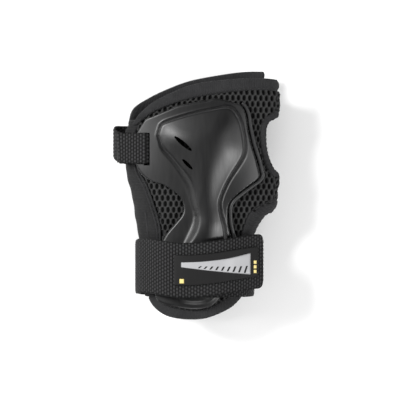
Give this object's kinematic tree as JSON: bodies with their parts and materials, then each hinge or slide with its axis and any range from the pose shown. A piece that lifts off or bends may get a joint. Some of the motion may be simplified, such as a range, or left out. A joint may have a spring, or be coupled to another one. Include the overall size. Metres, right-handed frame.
{
  "type": "wrist guard",
  "caption": "Left-hand skating or snowboarding wrist guard: fabric sleeve, hard shells on back and palm, a wrist strap and a narrow hand strap that peel open.",
  "frame": {"origin": "centre of the bounding box in X and Y, on the plane the guard rests on", "axes": "+Z from the palm to the back of the hand, +Y from the forearm to the fingers, +X to the thumb"},
  "size_m": [0.1177, 0.1744, 0.0686],
  "materials": {
    "shell_plastic": "smooth satin moulded plastic",
    "mesh_fabric": "knitted air mesh with oval holes over thin foam",
    "side_fabric": "plain stretch knit",
    "palm_fabric": "plain close weave",
    "binding": "plain knit binding, stitched",
    "foam": "knit-lined foam",
    "webbing": "ribbed polyester webbing",
    "hook_and_loop": "hook tape and loop tape",
    "badge": "soft coated patch with a silver wedge"
  },
  "bodies": {
    "sleeve": {"cuff_binding_dorsal": "binding", "cuff_binding_palm": "binding", "dorsal_foam_pad": "foam", "dorsal_mesh_panel": "mesh_fabric", "dorsal_shell": "shell_plastic", "dorsal_shell_piping": "binding", "finger_binding_dorsal": "binding", "finger_binding_palm": "binding", "hand_strap_base": "webbing", "index_web_gusset": "mesh_fabric", "palm_foam_pad": "foam", "palm_panel": "palm_fabric", "palm_shell": "shell_plastic", "thumb_gusset": "mesh_fabric", "thumb_hole_binding_dorsal": "binding", "thumb_hole_binding_palm": "binding", "ulnar_side_panel": "side_fabric", "wrist_loop_tape": "hook_and_loop", "wrist_slit_binding_dorsal": "binding", "wrist_slit_binding_palm": "binding", "wrist_strap_base": "webbing"},
    "wrist_side": {"wrist_strap_side": "webbing"},
    "wrist_tab": {"wrist_strap_tab": "webbing", "wrist_strap_badge": "badge", "wrist_hook_tape": "hook_and_loop"},
    "hand_flap": {"hand_strap_flap": "webbing", "hand_hook_tape": "hook_and_loop"}
  },
  "joints": [
    {"name": "wrist_strap_swing", "type": "hinge", "parent": "sleeve", "child": "wrist_side", "pos_m": [-0.03793, -0.052, 0.01252], "axis": [0, -1, 0], "range_deg": [0, 60]},
    {"name": "wrist_strap_peel", "type": "hinge", "parent": "wrist_side", "child": "wrist_tab", "pos_m": [-0.03793, -0.052, 0.0497], "axis": [0, -1, 0], "range_deg": [0, 100]},
    {"name": "hand_strap_peel", "type": "hinge", "parent": "sleeve", "child": "hand_flap", "pos_m": [-0.0354, 0.032, 0.0561], "axis": [0, 1, 0], "range_deg": [0, 150]}
  ]
}
